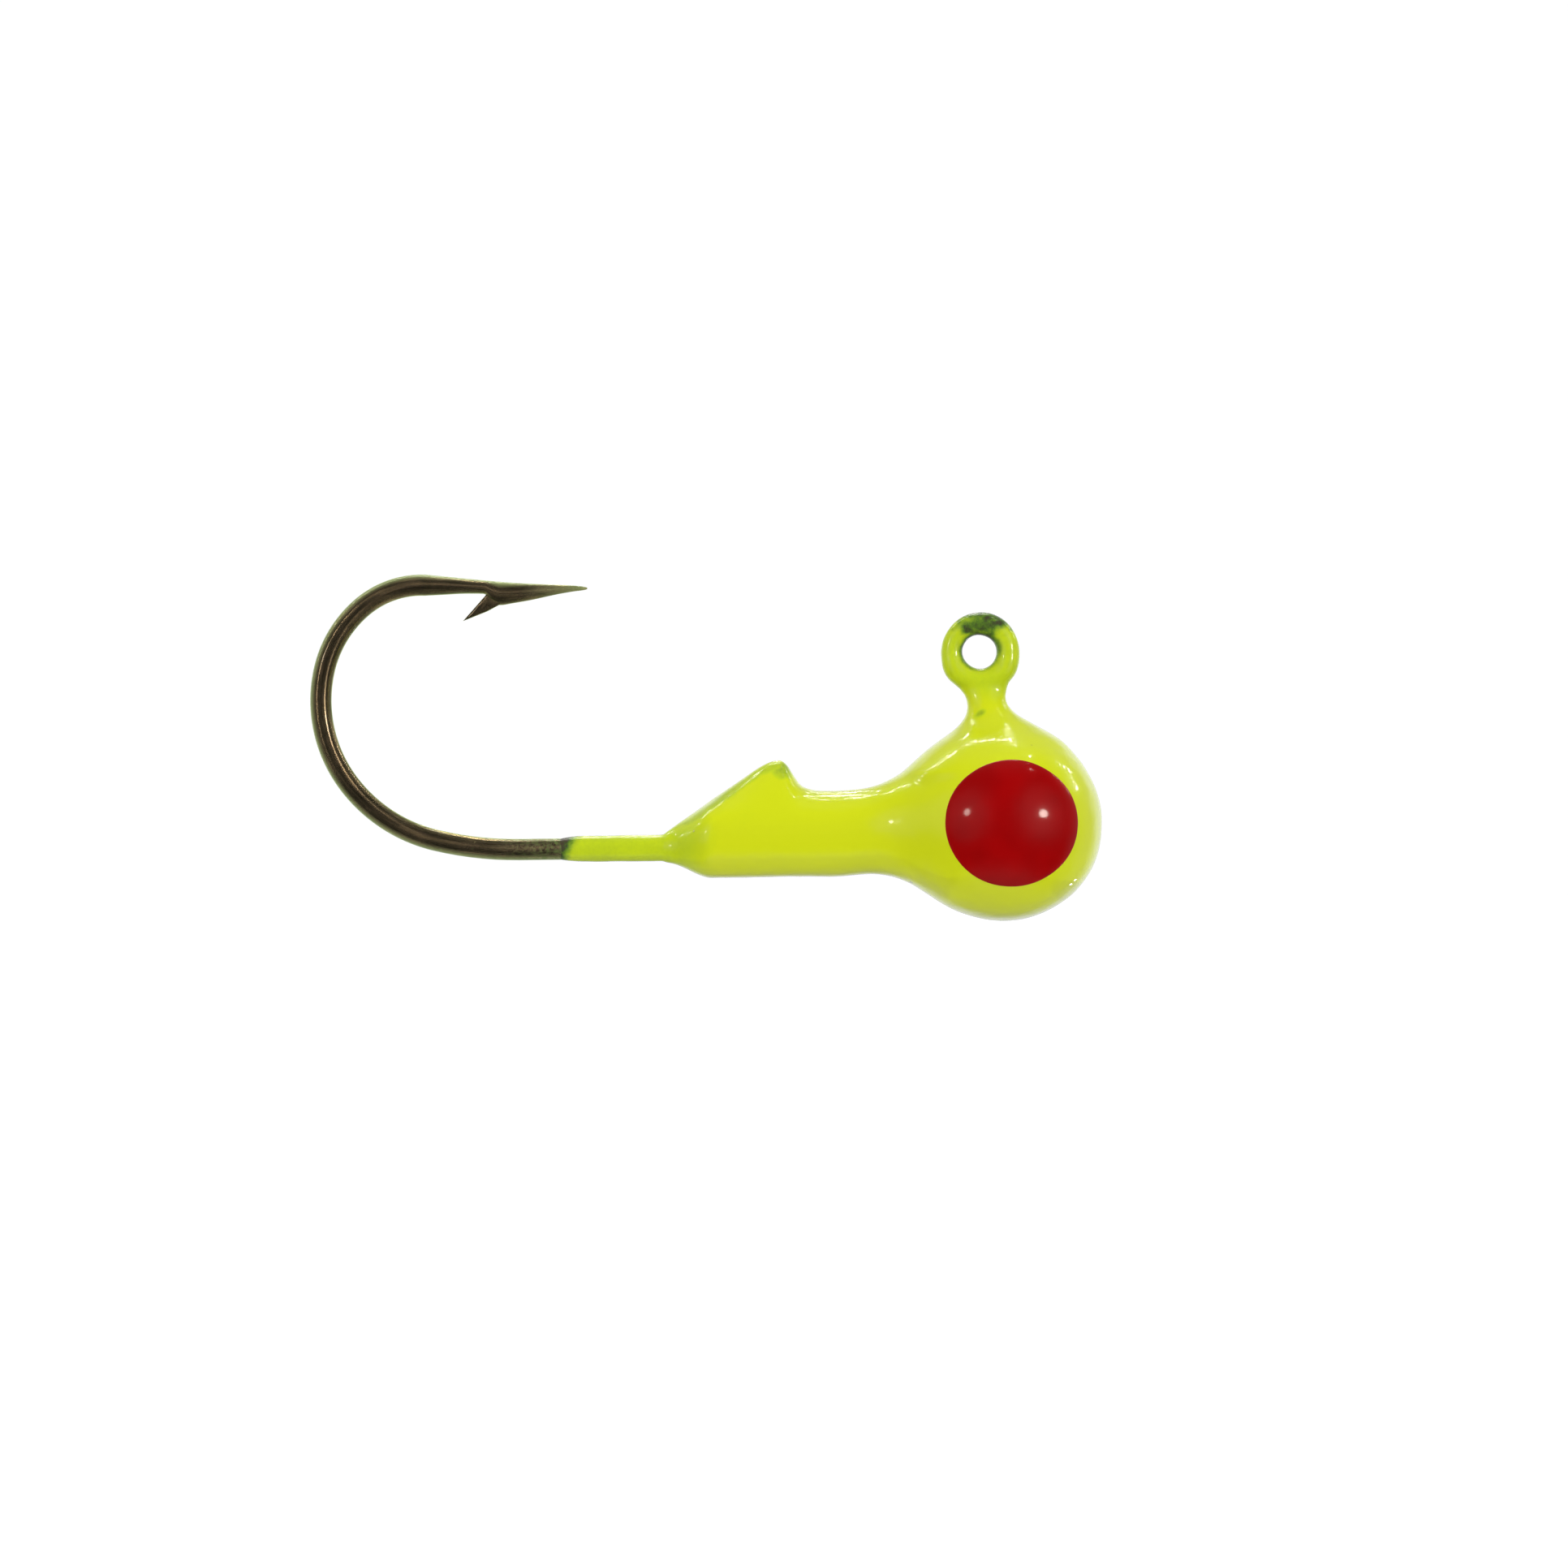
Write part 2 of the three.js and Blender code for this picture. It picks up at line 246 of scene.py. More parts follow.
def to_metres(mesh):
    """Brings a mesh in millimetres to metres and shades it smooth."""
    mesh.transform(Matrix.Scale(MM, 4))
    mesh.shade_smooth()


def place_piece(name, mesh, material, node):
    """Makes the mesh a piece that rides on the root and stands in for a node."""
    piece = bpy.data.objects.new(name, mesh)
    bpy.context.scene.collection.objects.link(piece)
    mesh.materials.clear()
    mesh.materials.append(material)
    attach(piece, "root")
    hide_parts(node)


# ---- shared material work ----


class Nodes:
    """The nodes of one material, around one Principled shader."""

    def __init__(self, name):
        self.material = bpy.data.materials.new(name)
        self.material.use_nodes = True
        self.tree = self.material.node_tree
        self.tree.nodes.clear()
        self.output = self.tree.nodes.new("ShaderNodeOutputMaterial")
        self.shader = self.add("ShaderNodeBsdfPrincipled")
        self.join(self.shader.outputs["BSDF"], self.output.inputs["Surface"])

    def add(self, kind, values=None, **settings):
        node = self.tree.nodes.new(kind)
        for key, value in settings.items():
            setattr(node, key, value)
        for key, value in (values or {}).items():
            if isinstance(value, bpy.types.NodeSocket):
                self.join(value, node.inputs[key])
            else:
                node.inputs[key].default_value = value
        return node

    def join(self, source, target):
        self.tree.links.new(source, target)

    def place(self):
        """Object coordinates in millimetres."""
        coordinates = self.add("ShaderNodeTexCoord").outputs["Object"]
        values = {"Vector": coordinates, "Scale": (1000, 1000, 1000)}
        return self.add("ShaderNodeMapping", values).outputs["Vector"]

    def split(self, vector):
        return self.add("ShaderNodeSeparateXYZ", {"Vector": vector}).outputs

    def attribute(self, name):
        return self.add("ShaderNodeAttribute", attribute_name=name)

    def noise(self, vector, scale, detail=3.0, roughness=0.5):
        values = {"Vector": vector, "Scale": scale, "Detail": detail, "Roughness": roughness}
        return self.add("ShaderNodeTexNoise", values).outputs["Fac"]

    def ramp(self, factor, stops):
        node = self.add("ShaderNodeValToRGB", {"Fac": factor})
        elements = node.color_ramp.elements
        while len(elements) < len(stops):
            elements.new(0.5)
        for element, (position, color) in zip(elements, stops):
            element.position = position
            element.color = (*color, 1)
        return node.outputs["Color"]

    def range(self, value, low, high, to_low=0.0, to_high=1.0):
        values = {"Value": value, "From Min": low, "From Max": high, "To Min": to_low, "To Max": to_high}
        return self.add("ShaderNodeMapRange", values).outputs["Result"]

    def math(self, operation, first, second):
        return self.add("ShaderNodeMath", {0: first, 1: second}, operation=operation).outputs["Value"]

    def mix(self, factor, first, second):
        """Mixes two colors."""
        values = {"Factor": factor, "A": first, "B": second}
        node = self.add("ShaderNodeMix", data_type="RGBA")
        for key, value in values.items():
            socket = next(s for s in node.inputs if s.name == key and (key == "Factor" or s.type == "RGBA"))
            if isinstance(value, bpy.types.NodeSocket):
                self.join(value, socket)
            else:
                socket.default_value = value
        return next(s for s in node.outputs if s.type == "RGBA")

    def bump(self, height, strength, distance):
        values = {"Height": height, "Strength": strength, "Distance": distance}
        return self.add("ShaderNodeBump", values).outputs["Normal"]


def bronze_material(length):
    """Bronzed wire with drawn streaks, a painted olive rim light along the outside of the bend and over the
    point, and specked.
    """
    n = Nodes("hook_bronze")
    straight = n.attribute("unrolled").outputs["Vector"]
    drawn = n.add("ShaderNodeMapping", {"Vector": straight, "Scale": (0.5, 7.0, 7.0)}).outputs["Vector"]
    streaks = n.noise(drawn, 1.0, 4.0, 0.6)
    bronze = n.ramp(
        streaks,
        (
            (0.32, (0.085, 0.064, 0.04)),
            (0.5, (0.25, 0.18, 0.108)),
            (0.68, (0.58, 0.41, 0.22)),
        ),
    )
    mottle = n.noise(straight, 2.2, 3.0, 0.6)
    aged = n.mix(n.range(mottle, 0.45, 0.75, 0.0, 0.55), bronze, (0.10, 0.085, 0.045, 1))
    place = n.split(n.place())
    low = n.range(place["Z"], -4.6, -5.2)
    near = n.math("MULTIPLY", n.range(place["X"], -17.5, -14.5), low)
    grain = n.noise(straight, 9.0, 4.0, 0.7)
    sparse = n.range(grain, 0.63, 0.67)
    dense = n.range(grain, 0.42, 0.6)
    crowded = n.range(place["X"], COAT_END - 2.4, COAT_END - 0.2)
    specks = n.add("ShaderNodeMix", {"Factor": crowded, "A": n.math("MULTIPLY", sparse, near), "B": dense})
    paint = n.math("MULTIPLY", specks.outputs["Result"], low)
    wire = n.split(straight)
    # painted rim light: a lighter olive along the outer edge of the wire and over the thin point, standing
    # in for the bright rim that light makes there
    outside = n.range(wire["Y"], 0.15, 0.3, 0.0, 0.8)
    pointed = n.range(wire["X"], length - 2.2, length - 0.2, 0.0, 0.75)
    painted_rim_light = n.math("MAXIMUM", outside, pointed)
    bronze_with_painted_rim = n.mix(painted_rim_light, aged, (0.25, 0.31, 0.11, 1))
    n.join(n.mix(paint, bronze_with_painted_rim, (0.125, 0.17, 0.048, 1)), n.shader.inputs["Base Color"])
    # less metallic under the painted rim light and under the specks of paint
    painted_rim_or_specks = n.math("MAXIMUM", painted_rim_light, n.math("MULTIPLY", paint, 0.9))
    n.join(n.math("SUBTRACT", 0.87, painted_rim_or_specks), n.shader.inputs["Metallic"])
    n.join(n.range(streaks, 0.3, 0.7, 0.32, 0.22), n.shader.inputs["Roughness"])
    n.join(n.attribute("runs").outputs["Vector"], n.shader.inputs["Tangent"])
    n.shader.inputs["Anisotropic"].default_value = 0.85
    n.shader.inputs["Specular Tint"].default_value = (0.6, 0.75, 0.36, 1)
    n.shader.inputs["Sheen Weight"].default_value = 0.8
    n.shader.inputs["Sheen Roughness"].default_value = 0.4
    n.shader.inputs["Sheen Tint"].default_value = (0.6, 0.78, 0.3, 1)
    n.shader.inputs["Coat Weight"].default_value = 0.3
    n.shader.inputs["Coat Roughness"].default_value = 0.09
    height = n.math("ADD", streaks, n.math("MULTIPLY", grain, 0.6))
    n.join(n.bump(height, 0.16, 0.00001), n.shader.inputs["Normal"])
    return n.material


def chartreuse_material(settings):
    """Dipped gloss coat: greener where the film is thin, nearly bare on the ring, with specks of grit."""
    n = Nodes("chartreuse_coat")
    place = n.place()
    clouds = n.noise(place, 0.55, 3.0, 0.5)
    fine = n.noise(place, 7.0, 4.0, 0.65)
    film = n.attribute("film").outputs["Fac"]
    loose = n.range(film, 0.2, 0.9, 0.75, 0.08)
    broken = n.math("MULTIPLY", n.math("SUBTRACT", fine, 0.5), loose)
    drift = n.math("MULTIPLY", n.math("SUBTRACT", clouds, 0.5), 0.25)
    ragged = n.math("ADD", n.math("ADD", film, drift), broken)
    painted = n.ramp(
        ragged,
        (
            (0.0, (0.075, 0.055, 0.034)),
            (0.12, (0.060, 0.075, 0.028)),
            (0.28, (0.105, 0.205, 0.024)),
            (0.5, (0.27, 0.42, 0.024)),
            (0.66, (0.47, 0.60, 0.02)),
            (0.8, settings.thin_color),
            (0.97, settings.coat_color),
        ),
    )
    cells = n.add("ShaderNodeTexVoronoi", {"Vector": place, "Scale": 0.62, "Randomness": 1.0})
    grit = n.range(cells.outputs["Distance"], 0.03, 0.055, 1.0, 0.0)
    pick = n.add("ShaderNodeSeparateColor", {"Color": cells.outputs["Color"]}).outputs["Red"]
    grit = n.math("MULTIPLY", grit, n.range(pick, 0.6, 0.7, 1.0, 0.0))
    n.join(n.mix(grit, painted, (0.22, 0.20, 0.03, 1)), n.shader.inputs["Base Color"])
    n.shader.inputs["Roughness"].default_value = 0.2
    n.shader.inputs["IOR"].default_value = 1.4
    n.shader.inputs["Coat Weight"].default_value = 0.6
    n.shader.inputs["Coat Roughness"].default_value = 0.025
    ripple = n.math("ADD", n.noise(place, 1.6, 2.0, 0.5), n.math("MULTIPLY", fine, 0.05))
    n.join(n.bump(ripple, 0.3, 0.00003), n.shader.inputs["Normal"])
    n.join(n.bump(ripple, 0.3, 0.00003), n.shader.inputs["Coat Normal"])
    return n.material


def enamel_material(settings):
    """Red gloss enamel with slightly deeper clouds."""
    n = Nodes("red_enamel")
    place = n.place()
    clouds = n.noise(place, 0.9, 2.0, 0.5)
    deep = tuple(channel * 0.8 for channel in settings.enamel_color)
    cloudy = n.range(clouds, 0.35, 0.7, 0.0, 0.7)
    n.join(n.mix(cloudy, (*settings.enamel_color, 1), (*deep, 1)), n.shader.inputs["Base Color"])
    n.shader.inputs["Roughness"].default_value = 0.3
    n.shader.inputs["IOR"].default_value = 1.4
    n.shader.inputs["Specular IOR Level"].default_value = 0.08
    n.shader.inputs["Coat Weight"].default_value = 0.5
    n.shader.inputs["Coat Roughness"].default_value = 0.1
    n.join(n.bump(n.noise(place, 1.3, 2.0, 0.5), 0.12, 0.00002), n.shader.inputs["Normal"])
    return n.material


def lead_material():
    """Dull cast lead with a grainy skin."""
    n = Nodes("cast_lead")
    place = n.place()
    grain = n.noise(place, 6.0, 4.0, 0.6)
    grey = n.ramp(grain, ((0.3, (0.16, 0.165, 0.175)), (0.7, (0.33, 0.34, 0.35))))
    n.join(grey, n.shader.inputs["Base Color"])
    n.shader.inputs["Metallic"].default_value = 0.9
    n.join(n.range(grain, 0.3, 0.7, 0.45, 0.7), n.shader.inputs["Roughness"])
    n.join(n.bump(grain, 0.4, 0.00003), n.shader.inputs["Normal"])
    return n.material


# ---- the hook wire ----


def wire_sections(settings):
    """Sections along the wire, from the closed end of the line eye to the tip of the spear."""
    radius = settings.wire_diameter * 500
    exit_angle = math.acos((NECK_X + LOOP_EXIT_RADIUS) / (LOOP_RADIUS + LOOP_EXIT_RADIUS))
    sections = []
    state = {"x": LOOP_RADIUS * math.cos(LOOP_START), "z": LOOP_RADIUS * math.sin(LOOP_START)}
    state["heading"] = LOOP_START - math.pi / 2

    def put(half=None):
        half = half or radius
        sections.append(section(state["x"], state["z"], state["heading"], half, half))

    def turn(bend_radius, angle, steps, half=None):
        side = math.copysign(1, angle)
        centre_x = state["x"] + side * bend_radius * math.sin(state["heading"])
        centre_z = state["z"] - side * bend_radius * math.cos(state["heading"])
        start = state["heading"]
        for step in range(1, steps + 1):
            state["heading"] = start - angle * step / steps
            state["x"] = centre_x - side * bend_radius * math.sin(state["heading"])
            state["z"] = centre_z + side * bend_radius * math.cos(state["heading"])
            put(half)

    def straight(length, steps):
        for _ in range(steps):
            state["x"] += length / steps * math.cos(state["heading"])
            state["z"] += length / steps * math.sin(state["heading"])
            put()

    put(EYE_WIRE_RADIUS)
    turn(LOOP_RADIUS, 2 * math.pi + LOOP_START + exit_angle, 60, EYE_WIRE_RADIUS)
    turn(LOOP_EXIT_RADIUS, -exit_angle, 12, EYE_WIRE_RADIUS)
    straight(NECK_LENGTH, 4)
    straight(state["z"] - SHANK_Z - NECK_BEND_RADIUS, 6)
    turn(NECK_BEND_RADIUS, math.pi / 2 - settings.shank_tilt, 16)
    straight(settings.shank_length * 1000, 40)
    for bend_radius, degrees in ROUND_BEND:
        turn(bend_radius, math.radians(degrees), round(degrees / 2))
    end = dict(state)
    for along, outer, inner, width in spear_rows():
        if along == 0.0:
            continue
        inward = (inner - outer) / 2 * radius
        x, z = spear_place(end, along, inward)
        sections.append(section(x, z, end["heading"], (outer + inner) / 2 * radius, width * radius))
    return sections, end


def spear_place(end, along, inward):
    """A place beside the spear, along it from the end of the bend and in towards the shank."""
    x = end["x"] + along * math.cos(end["heading"]) + inward * math.sin(end["heading"])
    z = end["z"] + along * math.sin(end["heading"]) - inward * math.cos(end["heading"])
    return x, z


def spear_rows():
    """The rows of the spear with three more eased in between each pair."""
    rows = []
    for index, (row, after) in enumerate(zip(SPEAR, SPEAR[1:])):
        before = SPEAR[max(index - 1, 0)]
        beyond = SPEAR[min(index + 2, len(SPEAR) - 1)]
        for step in range(4):
            share = step / 4
            rows.append(tuple(eased(*values, share) for values in zip(before, row, after, beyond)))
    rows.append(SPEAR[-1])
    return rows


def eased(before, first, second, beyond, share):
    """A curve through first and second whose slopes never overshoot the rows beside them."""
    step = second - first
    slope_in = limited((second - before) / 2, first - before, step)
    slope_out = limited((beyond - first) / 2, step, beyond - second)
    square = share * share
    cube = square * share
    return (
        (2 * cube - 3 * square + 1) * first
        + (cube - 2 * square + share) * slope_in
        + (3 * square - 2 * cube) * second
        + (cube - square) * slope_out
    )


def limited(slope, left, right):
    """The slope, kept within twice the gentler of its neighbours and level at a turning point."""
    if left * right <= 0:
        return 0.0
    most = 2 * min(abs(left), abs(right))
    return max(-most, min(most, slope))


def barb_mesh(settings, end, name):
    """The barb: a pointed slice, thick at its root and thin at its tip, with rounded edges."""
    radius = settings.wire_diameter * 500
    bm = bmesh.new()
    unrolled, runs = wire_layers(bm)
    corners = []
    for along, inward in BARB:
        x, z = spear_place(end, along, inward * radius)
        corners.append(bm.verts.new((x, -BARB_THICKNESS / 2, z)))
    outline = bm.faces.new(corners)
    bm.normal_update()
    grown = bmesh.ops.extrude_face_region(bm, geom=[outline])["geom"]
    moved = [part for part in grown if isinstance(part, bmesh.types.BMVert)]
    bmesh.ops.translate(bm, vec=(0, BARB_THICKNESS, 0), verts=moved)
    bmesh.ops.recalc_face_normals(bm, faces=bm.faces)
    rims = [edge for edge in bm.edges if abs(edge.verts[0].co.y - edge.verts[1].co.y) < 0.01]
    bmesh.ops.bevel(
        bm,
        geom=rims,
        offset=BARB_EDGE,
        offset_type="OFFSET",
        segments=3,
        profile=0.5,
        affect="EDGES",
        material=-1,
    )
    tip_x, tip_z = spear_place(end, BARB[0][0], BARB[0][1] * radius)
    for vert in bm.verts:
        reach = math.hypot(vert.co.x - tip_x, vert.co.z - tip_z)
        vert.co.y *= lerp(0.25, 1.0, smoothstep(reach, 0.0, 0.7))
        vert[unrolled] = Vector((BARB_ALONG + vert.co.x * 0.8, vert.co.z, vert.co.y))
        vert[runs] = Vector((math.cos(end["heading"]), 0, math.sin(end["heading"])))
    mesh = bpy.data.meshes.new(name)
    bm.to_mesh(mesh)
    bm.free()
    return mesh


class HookSettings(PropertyGroup):
    wire_diameter: FloatProperty(
        name="Wire Diameter",
        description="Diameter of the hook wire",
        default=0.00069,
        unit="LENGTH",
        precision=5,
    )
    shank_length: FloatProperty(
        name="Shank Length",
        description="Straight wire from the bend inside the ball to the round bend",
        default=0.014,
        unit="LENGTH",
        precision=4,
    )
    shank_tilt: FloatProperty(
        name="Shank Tilt",
        description="Fall of the shank towards the bend",
        default=SHANK_TILT,
        subtype="ANGLE",
    )


class JIG_OT_hook(Operator):
    """Draw the hook wire through the line eye, the shank, the round bend and the barbed spear"""

    bl_idname = "jig.hook"
    bl_label = "Hook Wire"

    def execute(self, context):
        settings = context.scene.jig_hook
        sections, end = wire_sections(settings)
        bm = bmesh.new()
        loft(bm, sections, 40, wire_layers(bm))
        wire = bpy.data.meshes.new("hook_wire_raw")
        bm.to_mesh(wire)
        bm.free()
        cutter = bpy.data.objects.new("barb_work", barb_mesh(settings, end, "barb_work"))
        context.scene.collection.objects.link(cutter)
        join = ("BOOLEAN", {"operation": "UNION", "solver": "EXACT", "object": cutter})
        mesh = finished_mesh(wire, "hook_wire", [join])
        bpy.data.objects.remove(cutter)
        to_metres(mesh)
        mesh.set_sharp_from_angle(angle=math.radians(38))
        pairs = zip(sections, sections[1:])
        length = sum((after.translation - before.translation).length for before, after in pairs)
        place_piece("hook_wire", mesh, bronze_material(length), "hook")
        return {"FINISHED"}


# ---- the coated head ----


def spine_height(x):
    """Height of the middle of the head: the collar's axis, rising to the ball and sinking to the wire."""
    front = lerp(COLLAR_Z, BALL_Z, smoothstep(x, COLLAR_FRONT - 0.9, BALL_X - 1.94))
    return lerp(front, shank_height(x), 1 - smoothstep(x, TAIL_END, TAIL_FRONT))


def shank_height(x):
    """Height of the middle of the shank."""
    return SHANK_Z + (x - NECK_X + NECK_BEND_RADIUS) * math.tan(SHANK_TILT)


def keeper_ridge(x):
    """Top of the bait keeper: a steep front face, a short crest and a long ramp down to the wire."""
    ramp = RAMP_HEIGHT + (x - KEEPER_TOP) * math.tan(KEEPER_RAMP)
    gap = ramp - KEEPER_HEIGHT
    return (ramp + KEEPER_HEIGHT - math.sqrt(gap * gap + CREST_SOFTNESS)) / 2


def raise_keeper(vert):
    """Moves a point of the turned skin onto the spine and up the keeper, and fills out the underside."""
    x, y, z = vert.co
    radius = math.hypot(y, z)
    upward = z / radius if radius > 0 else 0.0
    lift = 0.0
    if x < KEEPER_FOOT and upward > 0:
        ridge = COLLAR_Z + keeper_ridge(x) - spine_height(x)
        front = 0.8 * smoothstep(x, KEEPER_CREST, -5.7) + 0.2 * smoothstep(x, -6.1, KEEPER_FOOT)
        top = lerp(ridge, radius, front)
        lift = max(top, min(radius, SHOULDER_RADIUS)) - radius
    if z < 0:
        tail_swell = 0.03 * smoothstep(-x, 6.0, 8.0)
        flare_swell = 0.028 * math.exp(-(((x + 1.25) / 0.8) ** 2))
        z *= 1 + tail_swell + flare_swell
        vert.co.x += 0.05 * smoothstep(x, BALL_X + 1.0, BALL_X + 2.6) * smoothstep(-z, 0.2, 1.8)
    sharpness = lerp(1, 4, smoothstep(lift, -0.15, 0.25))
    vert.co.z = spine_height(x) + z + lift * max(upward, 0.0) ** sharpness


def turned_head(bm):
    """The ball, flare, collar and tail, turned about X and then given the keeper and the bent spine."""
    nose = bm.verts.new((BALL_X + BALL_RADIUS, 0, 0))
    arc = bmesh.ops.spin(
        bm,
        geom=[nose],
        cent=(BALL_X, 0, 0),
        axis=(0, 1, 0),
        angle=-(math.pi / 2 + FLARE_START),
        steps=60,
        use_merge=False,
    )
    last = next(part for part in arc["geom_last"] if isinstance(part, bmesh.types.BMVert))
    edge = Vector((last.co.x, 0, last.co.z))
    pull = Vector((-math.cos(FLARE_START), 0, -math.sin(FLARE_START))) * BALL_PULL
    collar = Vector((COLLAR_FRONT, 0, COLLAR_RADIUS))
    flare = interpolate_bezier(edge, edge + pull, collar + Vector((COLLAR_PULL, 0, 0)), collar, 40)
    places = list(flare[1:])
    for row in range(1, COLLAR_ROWS + 1):
        x = lerp(COLLAR_FRONT, TAIL_END, row / COLLAR_ROWS)
        taper = 1 - smoothstep(x, TAIL_END, TAIL_FRONT)
        places.append(Vector((x, 0, lerp(COLLAR_RADIUS, SHOULDER_RADIUS, taper))))
    places.append(Vector((TAIL_END, 0, 0)))
    for place in places:
        grown = bmesh.ops.extrude_vert_indiv(bm, verts=[last])
        after = grown["verts"][0]
        bmesh.ops.translate(bm, vec=place - last.co, verts=[after])
        last = after
    profile = bm.verts[:] + bm.edges[:]
    bmesh.ops.spin(
        bm, geom=profile, cent=(0, 0, 0), axis=(1, 0, 0), angle=2 * math.pi, steps=128, use_merge=True
    )
    bmesh.ops.remove_doubles(bm, verts=bm.verts, dist=1e-4)
    bmesh.ops.recalc_face_normals(bm, faces=bm.faces)
    for vert in bm.verts:
        raise_keeper(vert)


def neck_sections():
    """Sections down the neck, from the line eye into the ball."""
    return [
        section((rear + front) / 2, z, -math.pi / 2, (front - rear) / 2, width)
        for z, rear, front, width in NECK
    ]


def line_eye(bm):
    """The coated ring of the line eye, swept round the loop of the wire, then pooled and worn."""
    place = Matrix.Translation((LOOP_RADIUS, 0, 0))
    radius = EYE_WIRE_RADIUS + RING_COAT
    ring = bmesh.ops.create_circle(bm, cap_ends=False, radius=radius, segments=32, matrix=place)
    edges = list({edge for vert in ring["verts"] for edge in vert.link_edges})
    bmesh.ops.spin(
        bm,
        geom=ring["verts"] + edges,
        cent=(0, 0, 0),
        axis=(0, 1, 0),
        angle=2 * math.pi,
        steps=80,
        use_merge=True,
    )
    for vert in (vert for vert in bm.verts if vert.co.z > NECK[0][0] - 0.5 and not vert.is_boundary):
        angle = math.atan2(vert.co.z, vert.co.x)
        middle = Vector((math.cos(angle), 0, math.sin(angle))) * LOOP_RADIUS
        away = vert.co - middle
        if away.length < radius + 0.005:
            outer = smoothstep(away.dot(middle) / away.length, -0.6, 0.6)
            pooled = 0.06 * outer * smoothstep(-math.sin(angle), 0.05, 0.6)
            pooled += 0.02 * outer * smoothstep(math.sin(angle), 0.5, 1.0)
            worn = 0.03 * smoothstep(-math.cos(angle + 0.6), 0.2, 1.0)
            vert.co = middle + away * (1 + (pooled - worn) / away.length)


def shank_sleeve_sections():
    """The coat runs on along the wire and feathers out below its surface."""
    sections = []
    for x, radius in (
        (TAIL_END + 0.4, 0.44),
        (COAT_END + 1.0, 0.43),
        (COAT_END + 0.35, 0.415),
        (COAT_END + 0.1, 0.39),
        (COAT_END - 0.1, 0.355),
        (COAT_END - 0.6, 0.26),
    ):
        sections.append(section(x, shank_height(x), math.pi + SHANK_TILT, radius, radius))
    return sections


def film_at(place):
    """How well the coat covers at a place: 1 is full, 0 is bare metal."""
    x, y, z = place
    rough = noise.noise(place * 2.2) + 0.6 * noise.noise(place * 5.0)
    # thinner along the shank, and up the neck
    if z < -4:
        film = lerp(0.78, 1.0, smoothstep(x, TAIL_END, -8.0))
    else:
        film = lerp(1.0, 0.8, smoothstep(z, -1.9, -0.9))
    # worn through at the top of the ring and inside it
    if z > -0.95:
        ring_distance = math.hypot(x, z)
        angle = math.degrees(math.atan2(z, x)) - 87
        top = smoothstep(abs(angle) + 12 * rough, 24, 60)
        film = min(film, lerp(0.24 + 0.22 * rough, 1.0, top))
        rim = smoothstep(ring_distance + 0.05 * rough, 0.56, 0.84)
        worn = smoothstep(0.35 * x - z, -0.6, 0.9)
        film = min(film, lerp(lerp(0.15, 0.6, worn), 1.0, rim))
    # a smudge low on the neck
    smudge = math.hypot((x + 0.02) * 0.7, z + 1.98 - 0.4 * x)
    if y < 0:
        film = min(film, lerp(0.58, 1.0, smoothstep(smudge + 0.04 * rough, 0.02, 0.16)))
    # thin along the edge of the keeper's ramp and on its crest
    if KEEPER_FOOT > x > TAIL_END and z > COLLAR_Z + 0.3:
        depth = COLLAR_Z + keeper_ridge(x) - z
        slope = smoothstep(abs(depth - 0.2) + 0.05 * rough, 0.04, 0.24)
        film = min(film, lerp(0.7, 1.0, slope))
        crest = math.hypot((x - KEEPER_CREST - 0.1) * 0.9, z - COLLAR_Z - KEEPER_HEIGHT + 0.35)
        film = min(film, lerp(0.62, 1.0, smoothstep(crest + 0.12 * rough, 0.1, 0.4)))
    # feathered out on the shank, on a slant
    if x < COAT_END + 1.0 and z < COLLAR_Z + 1.2:
        slant = 0.45 * (z - shank_height(x))
        edge = x - COAT_END - slant + 0.1 * rough
        film = min(film, 0.88 * smoothstep(edge, -0.3, 0.58))
    return film


def blend_neck(mesh):
    """Runs the ring into the neck and the neck into the ball in one hollow curve, without a crease."""
    bm = bmesh.new()
    bm.from_mesh(mesh)
    for low, high, passes in NECK_SMOOTHING:
        near = [vert for vert in bm.verts if low < vert.co.z < high]
        for _ in range(passes):
            bmesh.ops.smooth_vert(
                bm, verts=near, factor=0.5, use_axis_x=True, use_axis_y=True, use_axis_z=True
            )
    bm.to_mesh(mesh)
    bm.free()


def skin_ripple(place):
    """Small swells left by dipping and dripping, in millimetres."""
    return noise.noise(place * 0.9) * 0.012 + noise.noise(place * 2.6 + Vector((3.1, 0, 0))) * 0.006


class HeadSettings(PropertyGroup):
    coat_color: FloatVectorProperty(
        name="Coat Color",
        description="Color of the full coat",
        default=(0.69, 0.77, 0.011),
        subtype="COLOR",
    )
    thin_color: FloatVectorProperty(
        name="Thin Coat Color",
        description="Color where the coat thins",
        default=(0.57, 0.71, 0.016),
        subtype="COLOR",
    )
    coat_detail: FloatProperty(
        name="Coat Detail",
        description="Size of the facets of the coat",
        default=0.00006,
        unit="LENGTH",
        precision=6,
    )


